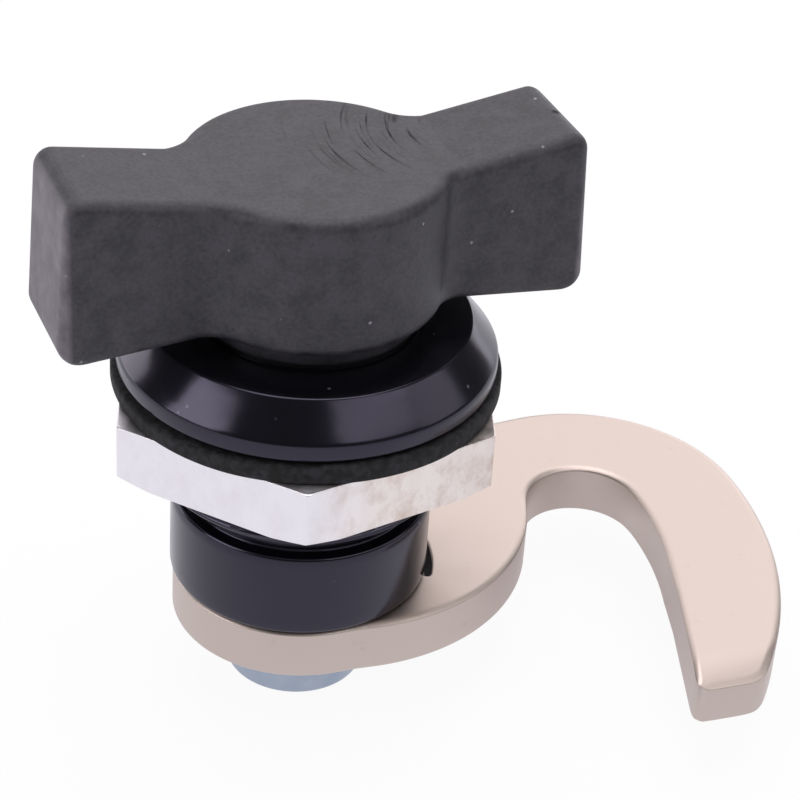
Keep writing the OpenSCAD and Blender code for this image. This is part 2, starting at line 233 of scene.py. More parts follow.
# %% Nylon: scratches on the hub and a nick in a wing
# The scratches are arcs about one point beside the hub, as something swung across it leaves them: noise
# in polar coordinates about that point, a third of a millimetre across and several millimetres along,
# kept near one spot. They are dark and dull, so they also take the mirror off the surface.
SCRATCH_SPOT, SWING_MID = Vector((4.0, 2.8, 17.9)) * MM, Vector((14.1, 3.2, 17.9)) * MM
inward = add(tree, "VectorMath", {0: SWING_MID, 1: place}, operation="SUBTRACT").outputs["Vector"]
swing = add(tree, "SeparateXYZ", {"Vector": inward}).outputs
radius = add(tree, "VectorMath", {0: inward}, operation="LENGTH").outputs["Value"]
turn = add(tree, "Math", {0: swing["Y"], 1: swing["X"]}, operation="ARCTAN2").outputs["Value"]
polar = add(tree, "CombineXYZ", {"X": radius, "Y": turn}).outputs["Vector"]
stretched = add(tree, "Mapping", {"Vector": polar, "Scale": (per_mm(0.36), 1.2, 1.0)}).outputs["Vector"]
stroke = add(tree, "TexNoise", {"Vector": stretched, "Scale": 1.0, "Detail": 2.5}).outputs["Fac"]
lines = add(tree, "MapRange",
            {"Value": stroke, "From Min": 0.56, "From Max": 0.66, "To Max": 0.85}).outputs["Result"]
away = add(tree, "VectorMath", {0: place, 1: SCRATCH_SPOT}, operation="DISTANCE").outputs["Value"]
near = add(tree, "MapRange", {"Value": away, "From Min": 6.5 * MM, "From Max": 2.5 * MM}).outputs["Result"]
scored = add(tree, "Math", {0: lines, 1: near}, operation="MULTIPLY").outputs["Value"]
NICK_SPOT = Vector((18.1, 2.2, 19.1)) * MM
off_nick = add(tree, "VectorMath", {0: place, 1: NICK_SPOT}, operation="DISTANCE").outputs["Value"]
nick = add(tree, "MapRange",
           {"Value": off_nick, "From Min": 0.5 * MM, "From Max": 0.2 * MM, "To Max": 0.7}).outputs["Result"]
scratch = add(tree, "Math", {0: scored, 1: nick}, operation="MAXIMUM").outputs["Value"]
scratched = add(tree, "Mix", {"Factor": scratch, "A": end_lit, "B": linear("#0c0b0d")}, data_type="RGBA")
tree.links.new(scratched.outputs["Result"], shader.inputs["Base Color"])
satin = add(tree, "MapRange",
            {"Value": cloud, "From Min": 0.3, "From Max": 0.7, "To Min": 0.47, "To Max": 0.63})
matt = add(tree, "Math", {0: satin.outputs["Result"], 1: scratch}, operation="MAXIMUM").outputs["Value"]
tree.links.new(matt, shader.inputs["Roughness"])
sheen = add(tree, "MapRange",
            {"Value": tone, "From Min": 0.4, "From Max": 0.6, "To Min": 0.46, "To Max": 0.63})
whole = add(tree, "Math", {0: 1.0, 1: scratch}, operation="SUBTRACT").outputs["Value"]
mirror = add(tree, "Math", {0: sheen.outputs["Result"], 1: whole}, operation="MULTIPLY").outputs["Value"]
tree.links.new(mirror, shader.inputs["Specular IOR Level"])
relief = add(tree, "Bump", {"Height": grain, "Strength": 0.18, "Distance": 0.06 * MM})
tree.links.new(relief.outputs["Normal"], shader.inputs["Normal"])
print("nylon nodes", len(tree.nodes))

# %% [markdown]
# ## The wing knob
# Seen from above, the knob is a round hub with two straight wings and hollow corners between
# them. That outline could be extruded and bevelled, but the wings rise outwards, and a bevel
# would bunch up in the hollow corners. So the outline is carried upwards as rings: each ring
# is the outline moved inwards by an inset and lifted to a height that depends on how far out
# the point lies. Quarter-circle insets at both ends roll the edges. The ends of the wings are
# rounder than the long edges and lean in a little towards the top, so that the knob leaves its
# mould: the first is an extra drop near the end, the second a shift that grows with height.

# %% Outline of the knob
HUB_R, WING_END, WING_HALF, ROOT_R, CORNER_R = 9.65, 19.5, 4.65, 3.0, 1.05


def arc(mid, radius, start, stop, spacing=0.12):
    """Points mid + radius (cos a, sin a) from angle start towards stop in degrees, about spacing apart."""
    count = max(3, int(abs(np.radians(stop - start)) * radius / spacing))
    a = np.radians(np.linspace(start, stop, count, endpoint=False))
    return np.asarray(mid) + radius * np.column_stack([np.cos(a), np.sin(a)])


def evenly(path, count):
    """The same polyline re-divided into count equal steps of length, both ends kept."""
    run = np.concatenate([[0], np.cumsum(np.linalg.norm(np.diff(path, axis=0), axis=1))])
    at = np.linspace(0, run[-1], count + 1)
    return np.column_stack([np.interp(at, run, path[:, k]) for k in (0, 1)])


def outward(loop):
    """Unit normals of a closed counter-clockwise loop: its tangent turned by a right angle."""
    along = np.roll(loop, -1, axis=0) - np.roll(loop, 1, axis=0)
    along = along / np.linalg.norm(along, axis=1, keepdims=True)
    return np.column_stack([along[:, 1], -along[:, 0]])


root_side = WING_HALF + ROOT_R
root_along = np.sqrt((HUB_R + ROOT_R) ** 2 - root_side ** 2)
root_turn = np.degrees(np.arctan2(root_side, root_along))
quarter = evenly(np.vstack([
    [[WING_END, 0]],
    arc((WING_END - CORNER_R, WING_HALF - CORNER_R), CORNER_R, 0, 90),
    arc((root_along, root_side), ROOT_R, 270, 180 + root_turn),
    arc((0, 0), HUB_R, root_turn, 90),
    [[0, HUB_R]],
]), 150)
half = np.vstack([quarter, quarter[-2::-1] * [-1, 1]])
knob_loop = np.vstack([half, half[-2:0:-1] * [1, -1]])
print("knob outline", len(knob_loop), "points")

# %% Rings of the knob
EDGE_R, BOSS_H, HUB_H, WING_RISE, WING_DROP = 0.9, 1.45, 10.7, 1.6, 0.9
HIGH_CORNER, LOW_CORNER, END_LEAN = 1.5, 1.9, np.tan(np.radians(3.2))
hub_floor = knob_low[2] + BOSS_H
hub_top = hub_floor + HUB_H


def flare(x, gain):
    """Straight rise with distance beyond the hub: gain (|x| - hub radius) / wing length, zero over the hub."""
    return gain * np.clip(np.abs(x) - HUB_R, 0, None) / (WING_END - HUB_R)


def leaned(x, z):
    """Shift towards the hub by lean times height above the middle, in full at a wing's end, none at the hub."""
    return x - np.sign(x) * flare(x, END_LEAN) * (z - hub_floor - HUB_H / 2)


def edge_level(x, flat, gain):
    """Level of a wing's upper or lower edge, worked out where the leaning end has moved the point to."""
    return flat + flare(leaned(x, flat + flare(x, gain)), gain)


def quarter_drop(away, radius):
    """Drop of a quarter circle below its flat, d from its upright side: r - sqrt(r^2 - (r - d)^2)."""
    short = np.clip(radius - away, 0, radius)
    return radius - np.sqrt(radius ** 2 - short ** 2)


def end_drop(x, radius):
    """Extra drop near a wing's end that makes the rolled edge there as round as the given radius."""
    away = WING_END - np.abs(x)
    return quarter_drop(away, radius) - quarter_drop(away, EDGE_R)


def roll(steps):
    """Quarter circle of unit radius: inset 1 - cos a and distance to the flat 1 - sin a."""
    a = np.linspace(0, np.pi / 2, steps)
    return 1 - np.cos(a), 1 - np.sin(a)


roll_in, roll_off = roll(8)
SUPPORT = 0.1
knob_normal = outward(knob_loop)
low_inset = np.concatenate([[EDGE_R + SUPPORT], EDGE_R * roll_in[::-1]])
low_lift = np.concatenate([[0], EDGE_R * roll_off[::-1]])[:, None]
side_share = np.linspace(0, 1, 8)[1:-1, None]
high_inset = np.concatenate([EDGE_R * roll_in, [EDGE_R + SUPPORT]])
high_drop = np.concatenate([EDGE_R * roll_off, [0]])[:, None]


def inset_ring(inset):
    """Outline moved inwards along its normals, by one inset for each row."""
    return knob_loop[None] - inset[:, None, None] * knob_normal[None]


low_plan, high_plan = inset_ring(low_inset), inset_ring(high_inset)
low_x, high_x = low_plan[..., 0], high_plan[..., 0]
low_z = edge_level(low_x, hub_floor, -WING_DROP) + end_drop(low_x, LOW_CORNER) + low_lift
high_z = edge_level(high_x, hub_top, WING_RISE) - end_drop(high_x, HIGH_CORNER) - high_drop
side_plan = inset_ring(np.zeros(len(side_share)))
side_z = low_z[-1] + side_share * (high_z[0] - low_z[-1])
knob_plan = np.concatenate([low_plan, side_plan, high_plan])
knob_height = np.concatenate([low_z, side_z, high_z])
knob_grid = np.stack([leaned(knob_plan[..., 0], knob_height), knob_plan[..., 1], knob_height], axis=-1)
knob_rows, knob_columns = knob_grid.shape[:2]
print("knob", knob_rows, "rings of", knob_columns, "points")

# %% The knob as a closed piece
# A lid joins each point to its mirror image across the wing, so the rings close without a pole. The points
# round each end lie nearly on one line, so they share one many-sided face.
end_count = np.count_nonzero(half[:, 0] > WING_END - CORNER_R - 0.2)
halfway = knob_columns // 2
across = np.arange(end_count, halfway - end_count)
lid = np.stack([across, across + 1, -(across + 1) % knob_columns, -across % knob_columns], axis=-1)
tips = np.stack([np.arange(-end_count, end_count + 1) % knob_columns,
                 np.arange(halfway - end_count, halfway + end_count + 1)])
top_start = (knob_rows - 1) * knob_columns
knob_parts = (grid_quads(knob_rows, knob_columns), lid, tips, lid + top_start, tips + top_start)
knob_faces = [part.tolist() for part in knob_parts]
knob = make_piece("knob_shell", turned(knob_grid, REST_TURN), sum(knob_faces, []), "rotor",
                  nylon, ["wing_knob"])

# %% [markdown]
# ## Turned pieces
# The boss under the knob, the gasket and the screw are round, so each is a profile carried
# round the axis. A closed profile gives a closed ring with no pole. Sharp corners of a
# profile are cut by small arcs: a real edge is never a knife, and the arc is what catches
# a line of light.


# %% Lathe
def soft_profile(corners, radius, steps=5):
    """Closed profile with each corner replaced by a curve: quadratic from radius before to radius after it."""
    corners = np.asarray(corners, float)
    before = np.roll(corners, 1, axis=0) - corners
    after = np.roll(corners, -1, axis=0) - corners
    reach_before = np.linalg.norm(before, axis=1, keepdims=True)
    reach_after = np.linalg.norm(after, axis=1, keepdims=True)
    size = np.minimum(np.reshape(radius, (-1, 1)), 0.45 * np.minimum(reach_before, reach_after))
    start, end = corners + before / reach_before * size, corners + after / reach_after * size
    t = np.linspace(0, 1, steps)[None, :, None]
    curve = (1 - t) ** 2 * start[:, None] + 2 * t * (1 - t) * corners[:, None] + t ** 2 * end[:, None]
    return curve.reshape(-1, 2)


def lathe(profile, columns=192):
    """Profile of (radius, height) carried round the axis: (r cos a, r sin a, z)."""
    a = np.linspace(0, 2 * np.pi, columns, endpoint=False)[None, :]
    r, z = profile[:, :1], profile[:, 1:]
    return np.stack([r * np.cos(a), r * np.sin(a), z + 0 * a], axis=-1)


def ring_piece(name, profile, body, finish, stands_for=(), turn=0):
    """Closed profile turned into a closed ring."""
    points = turned(lathe(profile), turn)
    faces = grid_quads(*points.shape[:2], wrap_rows=True)
    return make_piece(name, points, faces, body, finish, stands_for)


BOSS_R, SHAFT_R = 8.15, 6.02
boss_profile = soft_profile([(SHAFT_R, knob_low[2]), (BOSS_R, knob_low[2]),
                             (BOSS_R, hub_floor + EDGE_R), (SHAFT_R, hub_floor + EDGE_R)], 0.3)
ring_piece("knob_boss", boss_profile, "rotor", nylon, ["wing_knob"])

# %% [markdown]
# ## Finish: black coat on cast zinc
# The body is a zinc casting, machined and then coated in gloss black. The coat mirrors the
# room faintly, with a violet cast and the slight orange-peel waviness of a sprayed film.
# Scattered dust keeps it from looking like glass.

# %% Black coat
black, tree, shader, place = new_finish("gloss black coat on cast zinc", IOR=1.5, Specular_IOR_Level=0.6,
                                        Specular_Tint=linear("#e6dfff"))
peel = add(tree, "TexNoise", {"Vector": place, "Scale": per_mm(1.6), "Detail": 2.0}).outputs["Fac"]
haze = add(tree, "TexNoise", {"Vector": place, "Scale": per_mm(5), "Detail": 4.0}).outputs["Fac"]
speck = add(tree, "TexVoronoi", {"Vector": place, "Scale": per_mm(2.2)}).outputs["Distance"]
dust = add(tree, "MapRange", {"Value": speck, "From Min": 0.08, "From Max": 0.04}).outputs["Result"]
coat = add(tree, "Mix", {"Factor": dust, "A": linear("#0c0c10"), "B": linear("#57555e")}, data_type="RGBA")
tree.links.new(coat.outputs["Result"], shader.inputs["Base Color"])
gloss = add(tree, "MapRange", {"Value": haze, "From Min": 0.3, "From Max": 0.7,
                                         "To Min": 0.14, "To Max": 0.24}).outputs["Result"]
tree.links.new(gloss, shader.inputs["Roughness"])
relief = add(tree, "Bump", {"Height": peel, "Strength": 0.12, "Distance": 0.05 * MM})
tree.links.new(relief.outputs["Normal"], shader.inputs["Normal"])
print("black coat nodes", len(tree.nodes))

# %% [markdown]
# ## The threaded body
# The body is turned: flat-topped bevelled flange, thread, undercut and smooth collar. A screw
# modifier could cut the thread, but the two flats that key the body into its panel hole have
# to cut through it. With the radius as a function of angle and height, both are one line:
# the thread adds a triangle wave that climbs one pitch per turn, and the flats limit the
# radius to half their distance over |cos a|.

# %% Profile of the body
FLANGE_TOP_R, BAND_H, THREAD_R, FLAT_HALF, COLLAR_R, BORE_R = 11.9, 1.45, 11.0, 10.0, 9.9, 6.05
RECESS_R, PITCH, THREAD_DEPTH = 8.0, 1.5, 0.75
flange_r = housing_high[0]
flange_floor, flange_top = gasket_high[2], housing_high[2]
recess_floor = low_high("thrust_washer")[0][2]
CAM_GAP, COLLAR_L, THREAD_FROM = 0.15, 6.8, 8.6
foot = cam_high[2] + CAM_GAP
collar_top, thread_start = foot + COLLAR_L, foot + THREAD_FROM
UNDERCUT_R, COLLAR_LEAN, COLLAR_EDGE, LEAD = 8.8, 0.15, 0.6, 0.6
outer = [(COLLAR_R, foot), (COLLAR_R, collar_top - COLLAR_EDGE), (COLLAR_R - COLLAR_LEAN, collar_top),
         (UNDERCUT_R, collar_top), (UNDERCUT_R, thread_start), (THREAD_R - LEAD, thread_start),
         (THREAD_R, thread_start + LEAD), (THREAD_R, flange_floor), (flange_r, flange_floor),
         (flange_r, flange_floor + BAND_H),
         (FLANGE_TOP_R, flange_top), (RECESS_R, flange_top), (RECESS_R, recess_floor),
         (BORE_R, recess_floor), (BORE_R, foot)]
body_soft = [0.3, 0.25, 0.22, 0.2, 0.2, 0.15, 0.15, 0.1, 0.4, 0.3, 0.16, 0.1, 0.1, 0.1, 0.1]
body_profile = soft_profile(outer, body_soft)


def fill_steps(profile, step):
    """Closed profile whose stretches are cut into steps of at most the given lengths, its own points kept."""
    following = np.roll(profile, -1, axis=0)
    cuts = np.maximum(1, np.ceil(np.linalg.norm(following - profile, axis=1) / step)).astype(int)
    start = np.repeat(profile, cuts, axis=0)
    share = np.concatenate([np.arange(n) / n for n in cuts])[:, None]
    return start + share * (np.repeat(following, cuts, axis=0) - start)


OUTSIDE_R, FINE_STEP, PLAIN_STEP = BORE_R + 2, 0.12, 0.8
profile_r, profile_z = body_profile.T
on_thread = (profile_r > OUTSIDE_R) & (profile_z > thread_start) & (profile_z < flange_floor)
body_profile = fill_steps(body_profile, np.where(on_thread, FINE_STEP, PLAIN_STEP))
print("body profile", len(body_profile), "points")

# %% Thread and flats on the body
BODY_COLUMNS, RIDGE_GAIN, RIDGE_SHIFT = 288, 1.35, 0.2
body_turn = np.linspace(0, 2 * np.pi, BODY_COLUMNS, endpoint=False)[None, :]
body_r, body_z = body_profile[:, :1], body_profile[:, 1:]
threaded = np.clip((body_z - thread_start) / LEAD, 0, 1) * (body_z < flange_floor) * (body_r > UNDERCUT_R + 1)
saw = np.abs(((body_z / PITCH - body_turn / (2 * np.pi)) % 1) * 2 - 1)
ridge = np.clip(RIDGE_GAIN * saw - RIDGE_SHIFT, 0, 1)
cut_r = body_r - threaded * THREAD_DEPTH * ridge
outside_body = (body_z < flange_floor) & (body_r > OUTSIDE_R)
flat_r = FLAT_HALF / np.maximum(np.abs(np.cos(body_turn)), 1e-6)
keyed_r = np.where(outside_body, np.minimum(cut_r, flat_r), cut_r)
body_points = np.stack([keyed_r * np.cos(body_turn), keyed_r * np.sin(body_turn),
                        body_z + 0 * body_turn], axis=-1)
make_piece("body_shell", body_points, grid_quads(*body_points.shape[:2], wrap_rows=True),
           "latch_body", black, ["housing"], sharp=50)

# %% [markdown]
# ## The stop lug
# Under the body a short curved lug stands in the cam's slot, and its ends are the stops of
# the quarter turn. It is a piece of a ring, so its cross-section is carried along an arc and
# closed at both ends by collapsing the last section to its middle.

# %% Stop lug
LUG_IN, LUG_OUT, LUG_START, LUG_SPAN = 8.25, 9.75, -23.9, 20.0
LUG_LAP, LUG_EDGE, LUG_CUTS = 0.2, 0.15, 9
lug_top = foot + LUG_LAP
lug_section = soft_profile([(LUG_IN, housing_low[2]), (LUG_OUT, housing_low[2]),
                            (LUG_OUT, lug_top), (LUG_IN, lug_top)], LUG_EDGE)
lug_turn = np.radians(LUG_START + LUG_SPAN * np.concatenate([[0], np.linspace(0, 1, LUG_CUTS), [1]]))[:, None]
lug_scale = np.concatenate([[0], np.ones(LUG_CUTS), [0]])[:, None, None]
lug_flat = lug_section.mean(axis=0) + lug_scale * (lug_section - lug_section.mean(axis=0))[None]
lug_points = np.stack([lug_flat[..., 0] * np.cos(lug_turn), lug_flat[..., 0] * np.sin(lug_turn),
                       lug_flat[..., 1]], axis=-1)
make_piece("stop_lug", lug_points, grid_quads(*lug_points.shape[:2]), "latch_body",
           black, ["housing"], sharp=40)

# %% [markdown]
# ## Finish and piece: the rubber gasket
# Moulded rubber is nearly black and quite dull, with a dry, patchy, slightly dusty skin. The
# ring is cut from sheet, so its outer wall is upright with soft edges and a little wavy. Its
# upper edge sags away from the flange on one side. A radius and a height that depend on the
# angle give both.

# %% Rubber and gasket
rubber, tree, shader, place = new_finish("moulded black rubber", IOR=1.5)
skin = add(tree, "TexNoise", {"Vector": place, "Scale": per_mm(0.6), "Detail": 5.0}).outputs["Fac"]
tones = add(tree, "ValToRGB", {"Fac": skin})
dark, pale = tones.color_ramp.elements
dark.position, dark.color = 0.4, linear("#030304")
pale.position, pale.color = 0.64, linear("#29282c")
tree.links.new(tones.outputs["Color"], shader.inputs["Base Color"])
dull = add(tree, "MapRange", {"Value": skin, "To Min": 0.75, "To Max": 0.95}).outputs["Result"]
tree.links.new(dull, shader.inputs["Roughness"])
relief = add(tree, "Bump", {"Height": skin, "Strength": 0.7, "Distance": 0.15 * MM})
tree.links.new(relief.outputs["Normal"], shader.inputs["Normal"])

GASKET_WAVE, GASKET_SAG, SAG_TURN = 0.03, 0.35, 212.0
GASKET_EDGE, GASKET_STEP, GASKET_COLUMNS = 0.3, 0.4, 240
gasket_in, gasket_out = THREAD_R + 0.05, gasket_high[0]
gasket_profile = soft_profile([(gasket_in, gasket_low[2]), (gasket_out, gasket_low[2]),
                               (gasket_out, gasket_high[2]), (gasket_in, gasket_high[2])], GASKET_EDGE)
gasket_profile = fill_steps(gasket_profile, GASKET_STEP)
gasket_r, gasket_z = gasket_profile[:, :1], gasket_profile[:, 1:]
gasket_points = lathe(gasket_profile, GASKET_COLUMNS)
gasket_turn = np.linspace(0, 2 * np.pi, GASKET_COLUMNS, endpoint=False)[None, :]
wavy = GASKET_WAVE * (np.sin(5 * gasket_turn + 1) + np.sin(11 * gasket_turn)) / 2
outer_share = np.clip((gasket_r - THREAD_R - 1) / (gasket_out - THREAD_R - 1), 0, 1)
upper_share = outer_share * np.clip((gasket_z - gasket_low[2]) / (gasket_high[2] - gasket_low[2]), 0, 1)
sag = GASKET_SAG * np.clip(np.cos(gasket_turn - np.radians(SAG_TURN)), 0, 1) ** 2
gasket_points[..., :2] *= (1 + outer_share * (wavy - GASKET_WAVE) / gasket_r)[..., None]
gasket_points[..., 2] -= upper_share * sag
make_piece("gasket_ring", gasket_points, grid_quads(*gasket_points.shape[:2], wrap_rows=True), "latch_body",
           rubber, ["flange_gasket"])

# %% [markdown]
# ## Finish: bright zinc plate
# The nut is steel, milled and plated in bright zinc. Plate over milled flats is nearly white,
# with faint upright streaks, and spanners have left brownish rubs on it.

# %% Bright zinc
zinc, tree, shader, place = new_finish("bright zinc plate on milled steel", Metallic=1.0)
streak_place = add(tree, "Mapping", {"Vector": place, "Scale": (1.0, 1.0, 0.15)}).outputs["Vector"]
streak = add(tree, "TexNoise", {"Vector": streak_place, "Scale": per_mm(0.9), "Detail": 5.0}).outputs["Fac"]
rub_place = add(tree, "Mapping", {"Vector": place, "Scale": (1.0, 1.0, 0.7)}).outputs["Vector"]
rub = add(tree, "TexNoise", {"Vector": rub_place, "Scale": per_mm(2.4), "Detail": 8.0,
                                       "Roughness": 0.7}).outputs["Fac"]
stain = add(tree, "MapRange",
            {"Value": rub, "From Min": 0.46, "From Max": 0.74, "To Max": 0.75}).outputs["Result"]
# Towards the +x side the plate colour turns warmer and takes more of the brown rubs.
side = add(tree, "SeparateXYZ", {"Vector": place}).outputs["X"]
plus_x_side = add(tree, "MapRange",
              {"Value": side, "From Min": -3 * MM, "From Max": 3 * MM, "To Min": 0.2}).outputs["Result"]
brown = add(tree, "Math", {0: stain, 1: plus_x_side}, operation="MULTIPLY").outputs["Value"]
plate = add(tree, "Mix",
            {"Factor": streak, "A": linear("#e9e8ee"), "B": linear("#f5f4f9")}, data_type="RGBA")
warm = add(tree, "Mix",
           {"Factor": plus_x_side, "A": plate.outputs["Result"], "B": linear("#ece4de")}, data_type="RGBA")
worn = add(tree, "Mix",
           {"Factor": brown, "A": warm.outputs["Result"], "B": linear("#b79a86")}, data_type="RGBA")
tree.links.new(worn.outputs["Result"], shader.inputs["Base Color"])
sheen = add(tree, "MapRange", {"Value": streak, "From Min": 0.3, "From Max": 0.7,
                                         "To Min": 0.3, "To Max": 0.46}).outputs["Result"]
tree.links.new(sheen, shader.inputs["Roughness"])
relief = add(tree, "Bump", {"Height": rub, "Strength": 0.15, "Distance": 0.1 * MM})
tree.links.new(relief.outputs["Normal"], shader.inputs["Normal"])
print("zinc nodes", len(tree.nodes))

# %% [markdown]
# ## The hexagon nut
# A nut is a hexagon whose corners were turned back a little to a cone at both faces. Both are
# limits on the same radius: the hexagon gives flat distance over cos of the angle to the
# nearest flat, the cone gives a radius that grows with depth behind the face, and the smaller
# one wins. A soft minimum rounds the edge where they meet, and the last bit before each face
# rolls over.

# %% Nut
NUT_FLAT, NUT_TURN, UPPER_BREAK, LOWER_BREAK, NUT_EDGE, NUT_SOFT = 13.5, 18.4, 0.07, 0.45, 0.07, 0.04
NUT_BORE, BORE_FLARE, NUT_COLUMNS, CONE_TILT = THREAD_R + 0.06, 0.5, 720, 70.0
cone_slope = np.tan(np.radians(CONE_TILT))
corner_r = NUT_FLAT / np.cos(np.pi / 6)


def soft_least(a, b, width):
    """Smaller of two values with a rounded change-over: -w log(exp(-a/w) + exp(-b/w))."""
    return np.minimum(a, b) - width * np.log1p(np.exp(-np.abs(a - b) / width))


nut_angle = np.linspace(0, 2 * np.pi, NUT_COLUMNS, endpoint=False)[None, :]
hexagon = NUT_FLAT / np.cos((nut_angle % (np.pi / 3)) - np.pi / 6)
hexagon = soft_least(hexagon, corner_r + 0 * hexagon, NUT_SOFT)
nut_t = nut_high[2] - nut_low[2]
near_face = np.concatenate([np.linspace(0, NUT_EDGE, 6), np.linspace(NUT_EDGE, 1.4 * LOWER_BREAK, 14)[1:]])
depth = np.concatenate([near_face, nut_t - near_face[::-1]])[:, None]
inner_depth = np.minimum(depth, nut_t - depth)
rolled = NUT_EDGE - np.sqrt(NUT_EDGE ** 2 - np.clip(NUT_EDGE - inner_depth, 0, None) ** 2)
upper_cone = corner_r + cone_slope * (depth - UPPER_BREAK)
lower_cone = corner_r + cone_slope * (nut_t - depth - LOWER_BREAK)
wall_r = soft_least(soft_least(hexagon, upper_cone, NUT_SOFT), lower_cone, NUT_SOFT) - rolled
face_share = np.array([0, 0.1, 0.5, 0.9, 0.99])[:, None]
top_r = NUT_BORE + BORE_FLARE + face_share * (wall_r[0] - NUT_BORE - BORE_FLARE)
low_r = NUT_BORE + BORE_FLARE + face_share[::-1] * (wall_r[-1] - NUT_BORE - BORE_FLARE)
bore_z = np.array([nut_low[2] + BORE_FLARE, nut_high[2] - BORE_FLARE])[:, None] + 0 * nut_angle
nut_r = np.concatenate([top_r, wall_r, low_r, 0 * bore_z + NUT_BORE])
nut_z = np.concatenate([nut_high[2] + 0 * top_r, nut_high[2] - depth + 0 * wall_r,
                        nut_low[2] + 0 * low_r, bore_z])
nut_points = np.stack([nut_r * np.cos(nut_angle), nut_r * np.sin(nut_angle), nut_z], axis=-1)
nut_points = turned(nut_points, NUT_TURN)
make_piece("nut_shell", nut_points, grid_quads(*nut_points.shape[:2], wrap_rows=True), "nut",
           zinc, ["mounting_nut"], sharp=40)

# %% [markdown]
# ## Finish: satin nickel
# The cam is stamped steel, tumbled until its edges are round, then nickel plated. Nickel is
# warmer than zinc or chrome, and tumbling leaves a satin skin: soft reflections, tiny pits,
# and brown rubs where it has been handled.

# %% Satin nickel
nickel, tree, shader, place = new_finish("tumbled satin nickel plate")
mottle = add(tree, "TexNoise", {"Vector": place, "Scale": per_mm(3.5), "Detail": 6.0}).outputs["Fac"]
fine = add(tree, "TexNoise", {"Vector": place, "Scale": per_mm(0.3), "Detail": 3.0}).outputs["Fac"]
rub = add(tree, "TexNoise", {"Vector": place, "Scale": per_mm(1.7), "Detail": 8.0,
                                       "Roughness": 0.72}).outputs["Fac"]
stain = add(tree, "MapRange",
            {"Value": rub, "From Min": 0.62, "From Max": 0.78, "To Max": 0.5}).outputs["Result"]
plate = add(tree, "Mix",
            {"Factor": mottle, "A": linear("#c4b7ae"), "B": linear("#ccbfb6")}, data_type="RGBA")
worn = add(tree, "Mix",
           {"Factor": stain, "A": plate.outputs["Result"], "B": linear("#a98f80")}, data_type="RGBA")
# Painted shade: the end of the stop slot, below the upper face, lies in shadow, so it is painted dark, dull and
# no metal.
SLOT_SHADE_SPOT = Vector((10.2, -1.2, cam_high[2])) * MM
level = add(tree, "SeparateXYZ", {"Vector": place}).outputs["Z"]
deep = add(tree, "MapRange", {"Value": level, "From Min": (cam_high[2] - 0.1) * MM,
                                        "From Max": (cam_high[2] - 0.25) * MM}).outputs["Result"]
off_slot = add(tree, "VectorMath", {0: place, 1: SLOT_SHADE_SPOT}, operation="DISTANCE").outputs["Value"]
in_slot = add(tree, "MapRange",
              {"Value": off_slot, "From Min": 4.2 * MM, "From Max": 3.4 * MM}).outputs["Result"]
slot_shade = add(tree, "Math", {0: deep, 1: in_slot}, operation="MULTIPLY").outputs["Value"]
slot_shaded = add(tree, "Mix",
              {"Factor": slot_shade, "A": worn.outputs["Result"], "B": linear("#1e1916")}, data_type="RGBA")
tree.links.new(slot_shaded.outputs["Result"], shader.inputs["Base Color"])
unshaded = add(tree, "Math", {0: 1.0, 1: slot_shade}, operation="SUBTRACT").outputs["Value"]
tree.links.new(unshaded, shader.inputs["Metallic"])
satin = add(tree, "MapRange", {"Value": mottle, "From Min": 0.3, "From Max": 0.7,
                                         "To Min": 0.4, "To Max": 0.48}).outputs["Result"]
matt = add(tree, "Math", {0: satin, 1: slot_shade}, operation="MAXIMUM").outputs["Value"]
tree.links.new(matt, shader.inputs["Roughness"])
relief = add(tree, "Bump", {"Height": fine, "Strength": 0.12, "Distance": 0.04 * MM})
tree.links.new(relief.outputs["Normal"], shader.inputs["Normal"])
print("nickel nodes", len(tree.nodes))

# %% [markdown]
# ## Outline of the hook cam
# The cam's outline is a chain of arcs: the ring round the axis, the hollow neck, the keeper
# seat, an arc about the axis with a straight lip, the slanted tip, the arc that the hook
# sweeps, its rounded back, and a straight flank back to a bulge beside the ring. Chaining
# arcs keeps every radius a real size. The chain is then re-divided evenly and averaged a
# little along its length, which rounds the corners as tumbling does.

# %% Cam outline
RING_R, KEEPER, SEAT_R, SWING_R, OUTER_R, BACK_R = 9.7, 24.5, 4.6, 37.9, 34.2, 12.9
LIP_TURN, LIP_L, TIP_SLANT = -19.2, 14.6, 15.0
NECK_MID, NECK_R = np.array([4.5, 6.4]), 16.4
BULGE_MID, BULGE_R = np.array([1.25, 2.5]), 9.15
BACK_MID, OUTER_MID = np.array([SWING_R - BACK_R, 0.0]), np.array([SWING_R - OUTER_R, 0.0])
THROAT_R = KEEPER + SEAT_R


def meet(mid_a, r_a, mid_b, r_b, side):
    """Point where two circles cross, on the side (+1 left, -1 right) of the line from a to b."""
    gap = np.asarray(mid_b, float) - mid_a
    far = np.linalg.norm(gap)
    along = (far ** 2 + r_a ** 2 - r_b ** 2) / (2 * far)
    out = side * np.sqrt(r_a ** 2 - along ** 2)
    return np.asarray(mid_a) + (along * gap + out * np.array([-gap[1], gap[0]])) / far


def bearing(point, mid=(0, 0)):
    """Angle in degrees from a middle to a point."""
    return np.degrees(np.arctan2(point[1] - mid[1], point[0] - mid[0]))


